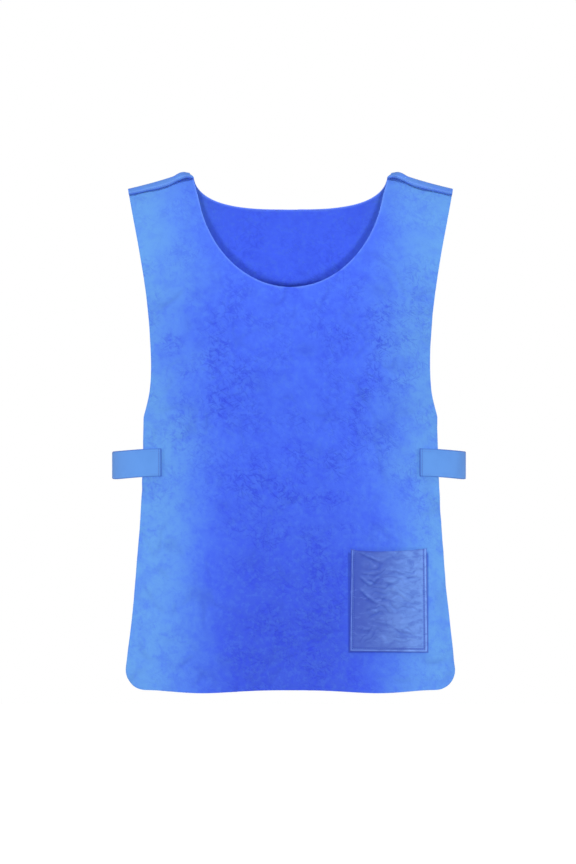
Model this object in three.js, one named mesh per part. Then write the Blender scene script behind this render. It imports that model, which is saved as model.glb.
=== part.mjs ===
// A pull-over cooling vest in the shape that it has when worn: a front and a back panel of soft
// padded cloth, joined over each shoulder by a band of tape and at each side by an elastic strap,
// with a patch pocket low on the wearer's left.
// Millimetres. +Z is up, the front faces -Y, and +X is the wearer's left. The origin lies midway
// between the two shoulders, level with the underside of the cloth where it crosses them.

import * as THREE from "three";

// Outline of the panels, as half widths and as drops below the shoulders' crest.
const vestLength = 683;
const neckHalfWidth = 128.5;
const neckFlare = 4;
const neckFlareDepth = 36;
const shoulderHalfWidth = 215;
const shoulderFall = 22.5;
const shoulderFlat = 16;
const frontNeckDepth = 151;
const backNeckDepth = 46.5;
const armholeDepth = 321;
const armholeInset = 15.9;
const sideHalfWidth = 193.7;
const hemHalfWidth = 220.8;
const hemCornerRadius = 27;
const hemDip = 4;

// Depth of the worn form in front of and behind the shoulders, and where it is deepest.
const chestDepth = 110;
const chestDrop = 235;
const frontWaistDepth = 103;
const frontHemDepth = 108;
const bladeDepth = 94;
const bladeDrop = 205;
const backWaistDepth = 82;
const backHemDepth = 96;
const crestReach = 46;
const foldDepth = 4.5;

// Cloth, tape and seams.
const panelThickness = 2;
const bandThickness = 1.6;
const bandFrontWidth = 25;
const bandBackWidth = 14;
const strapThickness = 1.6;
const strapWidth = 37;
const strapDrop = 386.5;
const strapOverlap = 25;
const strapStandOut = 36;
const pocketThickness = 1.2;
const pocketWidth = 101;
const pocketHeight = 136;
const pocketAcross = 130;
const pocketHemGap = 51;
const pocketPuff = 8;
const pocketFlare = 2;
const seamGap = 0.3;

// How finely the cloth is divided.
const panelColumns = 15;
const armholeRows = 7;
const sideRows = 8;
const cornerRows = 4;
const yokeRows = 11;
const yokeRowsLeast = 7;
const strapColumns = 26;
const sectionSteps = 12;
const strapRows = 2;
const bandColumns = 6;
const bandRows = 9;
const pocketColumns = 10;
const pocketRows = 10;

// Powers of the rounded outlines, where 2 is an ellipse and more is squarer, and other shares that
// shape the curves.
const frontNeckPower = 2;
const backNeckPower = 2.75;
const bodySectionPower = 2.6;
const shoulderSectionPower = 6;
const sideFlarePower = 1.8;
const shoulderBow = 0.75;
const shoulderSoftness = 0.12;
const hemDipPower = 1.4;
const profileBend = 0.45;
const sectionBunching = 1.4;

// The armhole's edge: down it as a share of its height, and in from the straight line between its
// ends as a share of armholeInset.
const armholeTable = [
  { down: 0, inward: 0 },
  { down: 0.12, inward: 0.27 },
  { down: 0.27, inward: 0.6 },
  { down: 0.45, inward: 0.89 },
  { down: 0.65, inward: 1 },
  { down: 0.8, inward: 0.88 },
  { down: 0.9, inward: 0.59 },
  { down: 1, inward: 0 },
];

// Soft folds that open towards the hem, the same on both sides: place and width as shares of
// hemHalfWidth, and how far they stand out as shares of foldDepth.
const frontFolds = [
  { across: 0, width: 0.2, out: 0.3 },
  { across: 0.36, width: 0.17, out: -0.6 },
  { across: 0.76, width: 0.16, out: 0.9 },
];
const backFolds = [
  { across: 0, width: 0.15, out: -0.5 },
  { across: 0.27, width: 0.17, out: 0.9 },
  { across: 0.55, width: 0.15, out: -0.8 },
  { across: 0.82, width: 0.14, out: 0.9 },
];

const lerp = THREE.MathUtils.lerp;
const smoothstep = THREE.MathUtils.smoothstep;

// The side view of the form from the crest down to the hem, as a path of (depth, drop) points.
function profile(fullDepth, fullDrop, waistDepth, hemDepth) {
  const path = new THREE.CurvePath();
  const at = (depth, drop) => new THREE.Vector2(depth, drop);
  const stations = [
    { depth: fullDepth, drop: fullDrop },
    { depth: waistDepth, drop: strapDrop },
    { depth: hemDepth, drop: vestLength },
  ];
  path.add(
    new THREE.CubicBezierCurve(
      at(0, 0),
      at(crestReach, 0),
      at(fullDepth, fullDrop * profileBend),
      at(fullDepth, fullDrop),
    ),
  );
  for (let i = 1; i < stations.length; i++) {
    const [from, to] = [stations[i - 1], stations[i]];
    const reach = (to.drop - from.drop) * profileBend;
    path.add(
      new THREE.CubicBezierCurve(
        at(from.depth, from.drop),
        at(from.depth, from.drop + reach),
        at(to.depth, to.drop - reach),
        at(to.depth, to.drop),
      ),
    );
  }
  return path;
}

// Each face has its profile, the way it faces, its neckline and its folds.
const front = {
  path: profile(chestDepth, chestDrop, frontWaistDepth, frontHemDepth),
  facing: -1,
  neckDepth: frontNeckDepth,
  neckPower: frontNeckPower,
  folds: frontFolds,
};
const back = {
  path: profile(bladeDepth, bladeDrop, backWaistDepth, backHemDepth),
  facing: 1,
  neckDepth: backNeckDepth,
  neckPower: backNeckPower,
  folds: backFolds,
};

// The profile's point at a run of cloth from the crest: a path's getPoint goes by length.
const atRun = (face, run) => face.path.getPoint(THREE.MathUtils.clamp(run / face.path.getLength(), 0, 1));

// The run of cloth from the crest at which the profile has dropped this far.
function runAtDrop(face, drop) {
  const halvings = 40;
  let [low, high] = [0, face.path.getLength()];
  for (let i = 0; i < halvings; i++) {
    const middle = (low + high) / 2;
    if (atRun(face, middle).y < drop) low = middle;
    else high = middle;
  }
  return (low + high) / 2;
}

// A smooth curve through the armhole's table.
const armholeCurve = new THREE.CubicInterpolant(
  armholeTable.map((row) => row.down),
  armholeTable.map((row) => row.inward),
  1,
);

// Half width of the panels at a drop, without the rounding of the hem's corners.
function sideEdge(drop) {
  if (drop >= armholeDepth) {
    const down = (drop - armholeDepth) / (vestLength - armholeDepth);
    return lerp(sideHalfWidth, hemHalfWidth, Math.min(down, 1) ** sideFlarePower);
  }
  const down = Math.max(drop, 0) / armholeDepth;
  const [inward] = armholeCurve.evaluate(down);
  return lerp(shoulderHalfWidth, sideHalfWidth, down) - armholeInset * inward;
}

function outerEdge(drop) {
  const cornerStart = vestLength - hemCornerRadius;
  const past = THREE.MathUtils.clamp(drop - cornerStart, 0, hemCornerRadius);
  return sideEdge(drop) - hemCornerRadius + Math.sqrt(hemCornerRadius ** 2 - past ** 2);
}

// Half width of the neck opening at a drop, and 0 below its lowest point.
function innerEdge(face, drop) {
  const share = THREE.MathUtils.clamp(drop / face.neckDepth, 0, 1);
  const round = (1 - share ** face.neckPower) ** (1 / face.neckPower);
  return round * (neckHalfWidth - neckFlare * smoothstep(drop, 0, neckFlareDepth));
}

// Half width of the whole form at a drop, which the side straps follow.
function formHalfWidth(drop) {
  const rise = smoothstep(drop, 0, strapDrop);
  const flare = smoothstep(drop, strapDrop, vestLength);
  const atStrap = lerp(shoulderHalfWidth, sideEdge(strapDrop), rise);
  return atStrap + (hemHalfWidth - sideEdge(strapDrop)) * flare + strapStandOut;
}

const sectionPower = (drop) =>
  lerp(shoulderSectionPower, bodySectionPower, smoothstep(drop, 0, chestDrop));

// How far the shoulder line has fallen at a place across: level beside the neck, and then down.
function fallAcross(x) {
  const flatEnd = neckHalfWidth + shoulderFlat;
  const past = (Math.abs(x) - flatEnd) / (shoulderHalfWidth - flatEnd);
  const ramp = (r) => (r + Math.hypot(r, shoulderSoftness)) / 2;
  return shoulderFall * (ramp(past) / ramp(1)) ** shoulderBow;
}

// How far the hem dips below its middle at a place across.
function dipAcross(x) {
  const share = Math.min(Math.abs(x) / (hemHalfWidth - hemCornerRadius), 1);
  return hemDip * Math.sin(Math.PI * share ** hemDipPower) ** 2;
}

// A fold's height at a place across, as a share of foldDepth, with its mirror image.
function foldHeight({ across, width, out }, x) {
  const bump = (middle) => Math.exp(-(((x / hemHalfWidth - middle) / width) ** 2));
  return out * Math.max(bump(across), bump(-across));
}

// A point of a panel's middle layer: place across, and run of cloth from the crest, negative
// down the front and positive down the back.
function formPoint(x, run) {
  const face = run < 0 ? front : back;
  const { x: depth, y: drop } = atRun(face, Math.abs(run));
  const power = sectionPower(drop);
  const across = Math.min(Math.abs(x) / formHalfWidth(drop), 1);
  const round = (1 - across ** power) ** (1 / power);
  const open = smoothstep(drop, strapDrop, vestLength);
  const fold = foldDepth * open * face.folds.reduce((sum, row) => sum + foldHeight(row, x), 0);
  const fall = fallAcross(x) * (1 - smoothstep(drop, 0, strapDrop)) + dipAcross(x) * open;
  return new THREE.Vector3(x, face.facing * (depth * round + fold), panelThickness / 2 - drop - fall);
}

// The outward direction of the form there, from two short steps across it.
function formNormal(x, run) {
  const step = 0.5;
  const across = formPoint(x + step, run).sub(formPoint(x - step, run));
  const along = formPoint(x, run + step).sub(formPoint(x, run - step));
  return across.cross(along).normalize();
}

function formVertex(x, run, lift = 0) {
  const normal = formNormal(x, run);
  return { middle: formPoint(x, run).addScaledVector(normal, lift), normal };
}

// A sheet of cloth as one closed solid: four-sided cells of shared vertices, thickened to both
// sides of their middle layer, with walls along every edge that only one cell has.
function clothGeometry(cells, thickness) {
  const positions = [];
  const face = (vertex, side) => vertex.middle.clone().addScaledVector(vertex.normal, (side * thickness) / 2);
  const triangle = (...corners) => corners.forEach((p) => positions.push(p.x, p.y, p.z));
  const quad = (a, b, c, d) => {
    triangle(a, b, c);
    triangle(a, c, d);
  };
  const names = new Map();
  const nameOf = (vertex) => names.get(vertex) ?? names.set(vertex, names.size).get(vertex);
  const edges = new Map();
  for (const cell of cells) {
    quad(...cell.map((vertex) => face(vertex, 1)));
    quad(...cell.toReversed().map((vertex) => face(vertex, -1)));
    cell.forEach((from, i) => {
      const to = cell[(i + 1) % cell.length];
      edges.set(nameOf(from) + ">" + nameOf(to), [from, to]);
    });
  }
  for (const [from, to] of edges.values())
    if (!edges.has(nameOf(to) + ">" + nameOf(from)))
      quad(face(from, 1), face(from, -1), face(to, -1), face(to, 1));
  return new THREE.BufferGeometry().setAttribute(
    "position",
    new THREE.Float32BufferAttribute(positions, 3),
  );
}

// Cells of a grid of vertices, given row by row, with their outer faces to the normals' side.
function gridCells(rows) {
  const cells = [];
  for (let j = 1; j < rows.length; j++)
    for (let i = 1; i < rows[j].length; i++)
      cells.push(facing([rows[j - 1][i - 1], rows[j - 1][i], rows[j][i], rows[j][i - 1]]));
  return cells;
}

function facing(cell) {
  const [a, b, , d] = cell.map((vertex) => vertex.middle);
  const turn = b.clone().sub(a).cross(d.clone().sub(a));
  return turn.dot(cell[0].normal) < 0 ? cell.toReversed() : cell;
}

// Runs of cloth from the crest to the hem at which a panel has its rows: evenly round the
// neckline, evenly from there to the armhole's end and from there down the side, and closer
// round the hem's corners.
function panelRuns(face) {
  const neckRun = runAtDrop(face, face.neckDepth);
  const armholeRun = runAtDrop(face, armholeDepth);
  const cornerRun = runAtDrop(face, vestLength - hemCornerRadius);
  const hemRun = face.path.getLength();
  const runs = [];
  const rowsToNeck = Math.max(Math.round((yokeRows * face.neckDepth) / frontNeckDepth), yokeRowsLeast);
  for (let i = rowsToNeck; i > 0; i--)
    runs.push(neckRun * Math.cos((Math.PI / 2) * (i / rowsToNeck)));
  runs[0] = seamGap / 2;
  const rowsToArmhole = armholeRows + yokeRows - rowsToNeck;
  for (let i = 0; i < rowsToArmhole; i++) runs.push(lerp(neckRun, armholeRun, i / rowsToArmhole));
  for (let i = 0; i < sideRows; i++) runs.push(lerp(armholeRun, cornerRun, i / sideRows));
  for (let i = 0; i <= cornerRows; i++)
    runs.push(lerp(cornerRun, hemRun, Math.sin((Math.PI / 2) * (i / cornerRows))));
  return { runs, neckRow: rowsToNeck };
}

function panelGeometry(face) {
  const { runs, neckRow } = panelRuns(face);
  const halves = [-1, 1].map((side) =>
    runs.map((run, j) => {
      const drop = atRun(face, run).y;
      const inner = j >= neckRow ? 0 : innerEdge(face, drop);
      const outer = outerEdge(drop);
      const row = [];
      for (let i = 0; i <= panelColumns; i++)
        row.push(formVertex(side * lerp(inner, outer, i / panelColumns), face.facing * run));
      return row;
    }),
  );
  for (let j = neckRow; j < runs.length; j++) halves[1][j][0] = halves[0][j][0];
  return clothGeometry(halves.flatMap(gridCells), panelThickness);
}

// A band of tape over one shoulder, on top of where the two panels meet.
function bandGeometry(side) {
  const lift = (panelThickness + bandThickness) / 2 + seamGap;
  const rows = [];
  for (let j = 0; j <= bandRows; j++) {
    const run = lerp(-bandFrontWidth, bandBackWidth, j / bandRows);
    const face = run < 0 ? front : back;
    const drop = atRun(face, Math.abs(run)).y;
    const row = [];
    for (let i = 0; i <= bandColumns; i++)
      row.push(formVertex(side * lerp(innerEdge(face, drop), outerEdge(drop), i / bandColumns), run, lift));
    rows.push(row);
  }
  return clothGeometry(gridCells(rows), bandThickness);
}

// The level section of the form at a drop, from the front panel's face round the side to the
// back panel's, as a curve that starts and ends where the strap is sewn down.
function sectionCurve(side, drop, lift) {
  const points = [];
  const power = sectionPower(drop);
  const halfWidth = formHalfWidth(drop);
  const sewnAt = sideEdge(strapDrop) - strapOverlap;
  const start = Math.acos((sewnAt / halfWidth) ** (power / 2));
  for (let i = -sectionSteps; i <= sectionSteps; i++) {
    const face = i < 0 ? front : back;
    const depth = atRun(face, runAtDrop(face, drop)).x;
    const turn = start * Math.abs(i / sectionSteps) ** sectionBunching;
    const x = halfWidth * Math.cos(turn) ** (2 / power);
    const y = face.facing * depth * Math.sin(turn) ** (2 / power);
    const out = new THREE.Vector2(
      (x / halfWidth) ** (power - 1) / halfWidth,
      (face.facing * (Math.abs(y) / depth) ** (power - 1)) / depth,
    ).normalize();
    points.push(new THREE.Vector3(side * (x + out.x * lift), y + out.y * lift, 0));
  }
  return new THREE.CatmullRomCurve3(points);
}

// An elastic strap round one side, sewn to the outer faces of both panels.
function strapGeometry(side) {
  const lift = (panelThickness + strapThickness) / 2 + seamGap;
  const rows = [];
  for (let j = 0; j <= strapRows; j++) {
    const drop = strapDrop + strapWidth * (j / strapRows - 1 / 2);
    const curve = sectionCurve(side, drop, lift);
    const row = [];
    for (let i = 0; i <= strapColumns; i++) {
      const middle = curve.getPointAt(i / strapColumns);
      const tangent = curve.getTangentAt(i / strapColumns);
      const normal = new THREE.Vector3(tangent.y, -tangent.x, 0).multiplyScalar(side).normalize();
      middle.z = panelThickness / 2 - drop;
      row.push({ middle, normal });
    }
    rows.push(row);
  }
  return clothGeometry(gridCells(rows), strapThickness);
}

// A patch pocket on the front panel's face, sewn at its sides and foot and open at the top, where
// it stands away from the panel.
function pocketGeometry() {
  const seat = (panelThickness + pocketThickness) / 2 + seamGap;
  const rows = [];
  for (let j = 0; j <= pocketRows; j++) {
    const up = j / pocketRows;
    const run = -runAtDrop(front, vestLength - pocketHemGap - pocketHeight * up);
    const halfWidth = pocketWidth / 2 - pocketFlare * (up - 1 / 2);
    const open = Math.sin((Math.PI / 2) * up);
    const row = [];
    for (let i = 0; i <= pocketColumns; i++) {
      const across = i / pocketColumns;
      const puff = pocketPuff * open * Math.sin(Math.PI * across);
      row.push(formVertex(pocketAcross + halfWidth * (2 * across - 1), run, seat + puff));
    }
    rows.push(row);
  }
  return clothGeometry(gridCells(rows), pocketThickness);
}

const clothBlue = new THREE.MeshStandardMaterial({ color: "#4c74ee", roughness: 0.85, metalness: 0 });
const strapBlue = new THREE.MeshStandardMaterial({ color: "#6098ec", roughness: 0.7, metalness: 0 });
const tapeBlue = new THREE.MeshStandardMaterial({ color: "#5a86ee", roughness: 0.8, metalness: 0 });
const pocketBlue = new THREE.MeshStandardMaterial({ color: "#5876d4", roughness: 0.55, metalness: 0 });

const vest = new THREE.Group();

function addPiece(name, geometry, material) {
  geometry.computeVertexNormals();
  const piece = new THREE.Mesh(geometry, material);
  piece.name = name;
  vest.add(piece);
}

addPiece("front_panel", panelGeometry(front), clothBlue);
addPiece("back_panel", panelGeometry(back), clothBlue);
addPiece("pocket", pocketGeometry(), pocketBlue);
for (const [name, side] of [
  ["left", 1],
  ["right", -1],
]) {
  addPiece("shoulder_band_" + name, bandGeometry(side), tapeBlue);
  addPiece("side_strap_" + name, strapGeometry(side), strapBlue);
}

export default vest;
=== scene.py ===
"""A pull-over cooling vest in worn shape: crumpled cloth panels, shoulder bands, elastic side
straps and a patch pocket with their stitching, on a plain studio stage. Metres throughout, +Z up,
the front faces -Y and +X is the wearer's left."""

import math

import bmesh
import bpy
import numpy as np
from bpy.props import FloatProperty, FloatVectorProperty, PointerProperty
from bpy.types import Operator, Panel, PropertyGroup
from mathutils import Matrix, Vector, noise


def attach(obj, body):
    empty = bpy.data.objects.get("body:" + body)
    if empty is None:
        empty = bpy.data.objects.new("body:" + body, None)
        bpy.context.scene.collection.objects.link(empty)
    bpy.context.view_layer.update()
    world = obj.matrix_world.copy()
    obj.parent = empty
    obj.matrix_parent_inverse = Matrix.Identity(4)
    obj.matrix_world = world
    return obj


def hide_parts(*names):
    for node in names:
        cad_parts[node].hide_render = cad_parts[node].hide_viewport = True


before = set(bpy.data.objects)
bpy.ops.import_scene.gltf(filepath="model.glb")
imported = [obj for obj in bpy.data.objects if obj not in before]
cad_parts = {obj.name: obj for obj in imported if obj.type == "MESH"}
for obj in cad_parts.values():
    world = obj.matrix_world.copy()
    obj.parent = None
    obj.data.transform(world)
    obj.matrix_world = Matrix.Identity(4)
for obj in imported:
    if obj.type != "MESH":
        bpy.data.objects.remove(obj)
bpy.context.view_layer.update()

bl_info = {
    "name": "Cooling Vest",
    "version": (1, 0, 0),
    "blender": (4, 5, 0),
    "location": "3D View > Sidebar > Vest",
    "description": "Builds a pull-over cooling vest: panels, shoulder bands, straps, pocket and stitching",
    "category": "Object",
}

BODY = "root"
SIDES = {"left": 1, "right": -1}
NOISE_SEED = 5  # without it, the vector noise would give other crumples on each run

# The armhole's edge: down it as a share of its height, and in from the straight line between its
# ends as a share of the armhole's inset.
ARMHOLE = [
    {"down": 0.0, "inward": 0.0},
    {"down": 0.12, "inward": 0.27},
    {"down": 0.27, "inward": 0.6},
    {"down": 0.45, "inward": 0.89},
    {"down": 0.65, "inward": 1.0},
    {"down": 0.8, "inward": 0.88},
    {"down": 0.9, "inward": 0.59},
    {"down": 1.0, "inward": 0.0},
]

# Soft folds that open towards the hem, the same on both sides: place and width as shares of the
# hem's half width, and how far they stand out as shares of the folds' depth.
FRONT_FOLDS = [
    {"across": 0.0, "width": 0.2, "out": 0.3},
    {"across": 0.36, "width": 0.17, "out": -0.6},
    {"across": 0.76, "width": 0.16, "out": 0.9},
]
BACK_FOLDS = [
    {"across": 0.0, "width": 0.15, "out": -0.5},
    {"across": 0.27, "width": 0.17, "out": 0.9},
    {"across": 0.55, "width": 0.15, "out": -0.8},
    {"across": 0.82, "width": 0.14, "out": 0.9},
]

# The pocket's main wrinkles, each a valley along a bent line: start, bend and end as shares of the
# pocket's width and height from its top left corner, and the depth as a share.
POCKET_WRINKLES = [
    ((0.09, 0.03), (0.25, 0.09), (0.4, 0.14), 0.9),
    ((0.38, 0.15), (0.5, 0.07), (0.64, 0.06), 0.4),
    ((0.09, 0.27), (0.2, 0.36), (0.28, 0.37), 1.0),
    ((0.27, 0.38), (0.34, 0.31), (0.42, 0.27), 0.7),
    ((0.43, 0.33), (0.55, 0.37), (0.64, 0.3), 0.6),
    ((0.6, 0.32), (0.74, 0.26), (0.93, 0.29), 0.6),
    ((0.1, 0.4), (0.22, 0.5), (0.36, 0.55), 1.0),
    ((0.34, 0.56), (0.42, 0.48), (0.52, 0.46), 0.4),
    ((0.46, 0.21), (0.6, 0.25), (0.8, 0.25), 0.5),
    ((0.57, 0.43), (0.66, 0.47), (0.72, 0.5), 0.5),
    ((0.73, 0.51), (0.84, 0.56), (0.93, 0.5), 0.6),
    ((0.55, 0.77), (0.7, 0.84), (0.82, 0.81), 0.9),
    ((0.2, 0.58), (0.3, 0.64), (0.38, 0.62), 0.6),
    ((0.27, 0.71), (0.42, 0.74), (0.56, 0.75), 0.5),
    ((0.08, 0.79), (0.18, 0.82), (0.3, 0.79), 0.5),
    ((0.36, 0.82), (0.43, 0.88), (0.41, 0.94), 0.4),
]

# The short strokes on the panels' cloth, small creases that are sunk as bumps and darkened with
# painted shade: the way they lie in radians, their length and width, and how much of the cloth they
# leave bare.
STROKES = [
    {"turn": 0.6, "long": 0.015, "thin": 0.0044, "bare": 0.53},
    {"turn": -0.45, "long": 0.011, "thin": 0.0038, "bare": 0.53},
    {"turn": 1.4, "long": 0.009, "thin": 0.004, "bare": 0.54},
]


def length(label, metres, text):
    return FloatProperty(name=label, description=text, default=metres, unit="LENGTH", precision=4)


def share(label, value, text):
    return FloatProperty(name=label, description=text, default=value, precision=3)


def linear(channel):
    """One channel from 0 to 255 in sRGB as the linear value that Blender holds."""
    value = channel / 255
    return value / 12.92 if value <= 0.04045 else ((value + 0.055) / 1.055) ** 2.4


def colour(label, red, green, blue, text):
    rgb = [linear(channel) for channel in (red, green, blue)]
    return FloatVectorProperty(
        name=label, description=text, subtype="COLOR", size=3, min=0, max=1, default=rgb
    )


class VestForm(PropertyGroup):
    """Outline and depth of the worn vest, as half widths, drops below the shoulders and depths"""

    vest_length: length("Length", 0.683, "From the shoulders' crest to the hem")
    neck_half_width: length("Neck", 0.1285, "Half width of the neck opening")
    neck_flare: length("Neck flare", 0.004, "How much the neck opening narrows below the shoulders")
    neck_flare_depth: length("Neck flare depth", 0.036, "Drop over which it narrows")
    neck_corner: length("Neck corner", 0.005, "How much wider the neck opening is right at the crest")
    neck_corner_depth: length("Neck corner depth", 0.007, "Drop over which that is gone")
    shoulder_half_width: length("Shoulders", 0.215, "Half width at the shoulders")
    shoulder_fall: length("Shoulder fall", 0.0225, "How far the shoulder line falls")
    shoulder_flat: length("Shoulder flat", 0.016, "Level part of that line, beside the neck")
    front_neck_depth: length("Front neckline", 0.151, "Drop of the front neckline")
    back_neck_depth: length("Back neckline", 0.0465, "Drop of the back neckline")
    armhole_depth: length("Armhole", 0.321, "Drop of the armhole's lower end")
    armhole_inset: length("Armhole inset", 0.0159, "How far the armhole curves in")
    side_half_width: length("Side", 0.1937, "Half width at the armhole's lower end")
    hem_half_width: length("Hem", 0.2208, "Half width at the hem")
    hem_corner_radius: length("Hem corner", 0.0305, "Radius of the hem's corners")
    hem_dip: length("Hem dip", 0.004, "How far the hem dips between its middle and its corners")
    chest_depth: length("Chest", 0.11, "Depth of the front at the chest")
    chest_drop: length("Chest drop", 0.235, "Where the front is deepest")
    front_waist_depth: length("Front waist", 0.103, "Depth of the front at the straps")
    front_hem_depth: length("Front hem", 0.108, "Depth of the front at the hem")
    blade_depth: length("Shoulder blades", 0.094, "Depth of the back at the shoulder blades")
    blade_drop: length("Blade drop", 0.205, "Where the back is deepest")
    back_waist_depth: length("Back waist", 0.082, "Depth of the back at the straps")
    back_hem_depth: length("Back hem", 0.096, "Depth of the back at the hem")
    crest_reach: length("Crest", 0.046, "How far the cloth runs level over the crest")
    fold_depth: length("Folds", 0.0045, "How far the soft folds stand out at the hem")
    panel_thickness: length("Panel thickness", 0.002, "Thickness of the panels' cloth")
    seam_gap: length("Seam gap", 0.0003, "Gap between pieces that are sewn together")
    front_neck_power: share("Front neckline power", 2.0, "2 is an ellipse, and more is squarer")
    back_neck_power: share("Back neckline power", 2.75, "2 is an ellipse, and more is squarer")
    body_power: share("Body power", 2.6, "Roundness of the level section below the chest")
    shoulder_power: share("Shoulder power", 6.0, "Roundness of the level section at the shoulders")
    flare_power: share("Side flare power", 1.8, "How late the sides flare towards the hem")
    shoulder_bow: share("Shoulder bow", 0.75, "Under 1 makes the shoulder line bow upwards")
    shoulder_softness: share("Shoulder softness", 0.12, "Softness of the shoulder line's bend")
    hem_dip_power: share("Hem dip power", 1.4, "More moves the hem's dip outwards")
    profile_bend: share("Profile bend", 0.45, "Reach of the side view's curves")


class VestPieces(PropertyGroup):
    """Sizes of the straps, bands, pocket and stitches that are sewn to the panels"""

    strap_width: length("Strap width", 0.037, "Width of the side straps")
    strap_thickness: length("Strap thickness", 0.0016, "Thickness of the side straps")
    strap_drop: length("Strap drop", 0.3865, "Drop of the straps' middle")
    strap_overlap: length("Strap overlap", 0.025, "How far the straps lie on the panels")
    strap_stand_out: length("Strap stand-out", 0.036, "How far the straps pass outside the panels")
    strap_slack_right: length("Right slack", 0.0028, "How far the right strap bows out")
    strap_slack_left: length("Left slack", -0.0012, "How far the left strap bows out")
    strap_end_rise: length("Strap end rise", 0.004, "How much higher the straps' sewn ends lie")
    strap_seam_inset: length("Strap seam", 0.0032, "From the straps' ends to their stitches")
    band_thickness: length("Band thickness", 0.0016, "Thickness of the shoulder bands")
    band_front_width: length("Band front", 0.025, "Width of the bands in front of the crest")
    band_back_width: length("Band back", 0.014, "Width of the bands behind the crest")
    band_bulge: length("Band bulge", 0.004, "How much further the bands' front edge lies in its middle")
    band_ragged: length("Band waviness", 0.002, "How far the bands' front edge wanders")
    band_pucker: length("Band puckers", 0.0009, "Height of the puckers along that edge")
    band_hump: length("Band hump", 0.0021, "Height of the bands' hump beside the neck")
    pocket_width: length("Pocket width", 0.101, "Width of the pocket")
    pocket_height: length("Pocket height", 0.136, "Height of the pocket")
    pocket_across: length("Pocket place", 0.129, "The pocket's middle, towards the wearer's left")
    pocket_hem_gap: length("Pocket hem gap", 0.051, "From the pocket's foot to the hem")
    pocket_thickness: length("Pocket thickness", 0.0012, "Thickness of the pocket's cloth")
    pocket_puff: length("Pocket puff", 0.008, "How far the pocket's open top stands away")
    pocket_flare: length("Pocket flare", 0.002, "How much wider the pocket is at its foot")
    pocket_slant: length("Pocket slant", 0.0013, "How much lower its foot is towards the side")
    pocket_sag: length("Pocket sag", 0.0042, "How far the pocket's top edge sags near its middle")
    pocket_seam_inset: length("Pocket seam", 0.0042, "From the pocket's edge to its stitches")
    wrinkle_width: length("Pocket wrinkle width", 0.002, "Width of the pocket's wrinkles")
    wrinkle_depth: length("Pocket wrinkles", 0.0012, "Depth of the pocket's wrinkles")
    crumple_height: length("Crumple", 0.0013, "Height of the panels' soft crumples")
    stitch_pitch: length("Stitch pitch", 0.0028, "From one stitch to the next")
    stitch_length: length("Stitch length", 0.0022, "Length of one stitch")
    thread_radius: length("Thread radius", 0.00036, "Radius of the sewing thread")
    cloth_step: length("Cloth step", 0.0029, "Side of the panels' mesh cells")
    trim_step: length("Trim step", 0.0011, "Side of the other pieces' mesh cells")


class VestColours(PropertyGroup):
    """Colours of the cloth, the trim and the thread"""

    royal: colour("Royal", 69, 105, 231, "The panels' blue down their middle")
    # Painted light: the panels' lighter blue where they turn to the sides, as a sheen. It also lightens
    # random specks and tints the thread's twist.
    azure: colour("Azure", 92, 146, 214, "The panels' blue towards their sides")
    deep: colour("Deep", 55, 79, 198, "The panels' blue low in the middle")
    # Darker blue for random blotches and specks, and for the painted shade in the panels' small creases.
    vivid: colour("Vivid", 46, 62, 222, "The panels' blue in their small creases")
    # Painted light: a lighter blue on the back panel's inside near the neck, where light comes in through
    # the neck opening.
    neck_inside_light: colour("Inside the neck", 72, 106, 250, "The back panel's blue near the neck")
    tape: colour("Tape", 88, 138, 220, "The shoulder bands")
    elastic: colour("Elastic", 87, 140, 214, "The side straps")
    # Darker blue for random mottling on the straps, and for the painted shade along their rounded edges.
    strap_mottle_and_edge_shade: colour("Selvedge", 58, 102, 184, "The straps' edges")
    # Painted shade: the darker blue in stitch grooves, creases and wrinkles, under edges, at the straps'
    # sewn ends and round the pocket.
    seam: colour("Seam", 40, 60, 164, "The cloth in stitch grooves and under edges")
    # Painted highlight on turned edges, on the ridges beside grooves and wrinkles, and on the pocket's fine
    # ripples.
    painted_highlight: colour("Pale", 128, 168, 250, "The cloth's turned edges and the wrinkles' ridges")
    # Painted light: the pocket is darker towards the middle and lighter towards the side, as the panels are.
    # The darker blue also gives painted shading on its fine ripples.
    pocket: colour("Pocket", 92, 131, 206, "The pocket's cloth towards the side")
    pocket_shade: colour("Pocket shade", 46, 74, 172, "The pocket's cloth towards the middle")
    thread: colour("Thread", 52, 76, 176, "Sewing thread")


class VestStage(PropertyGroup):
    """Camera, floor and light"""

    camera_distance: length("Camera distance", 18.0, "From the camera to the vest's middle")
    frame_height: length("Frame height", 1.1425, "Height that the picture covers at the vest's edges")
    frame_depth: length("Frame depth", -0.06, "Depth of the vest's edges, where that height holds")
    aim_across: length("Aim across", -0.0033, "Where the camera aims across the vest")
    aim_height: length("Aim height", -0.3413, "Height at which the camera aims")
    floor_gap: length("Floor gap", 0.45, "From the hem down to the floor")
    sky_strength: share("Sky strength", 0.36, "Brightness of the light from all round")
    backdrop_strength: share("Backdrop", 1.0, "Brightness of the white backdrop")
    backdrop_radius: length("Backdrop radius", 21.4, "Radius of the dome, outside every camera")
    floor_glow: share("Floor glow", 0.75, "Light that the floor gives off, as a light table does")
    front_power: share("Front and back lights", 350.0, "Watts of each light in the pairs")
    pair_apart: length("Pair apart", 0.52, "From the middle to each light of a pair, for soft shadows")
    pair_size: length("Pair size", 0.36, "Width of the lights of a pair")
    side_power: share("Side lights", 520.0, "Watts of the wide lights at the sides")
    top_power: share("Top light", 420.0, "Watts of the wide light above")
    light_distance: length("Light distance", 10.0, "From the lights to the vest")
    light_size: length("Light size", 2.4, "Width of the wide lights at the sides and above")


def settings():
    scene = bpy.context.scene
    return scene.vest_form, scene.vest_pieces


def smoothstep(value, low, high):
    ramp = np.clip((value - low) / (high - low), 0, 1)
    return ramp * ramp * (3 - 2 * ramp)


def lerp(low, high, amount):
    return low + (high - low) * amount


def peak(distance, width):
    """1 where the distance is 0, and softly down to nothing past the width."""
    return np.exp(-((distance / width) ** 2))


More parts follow.
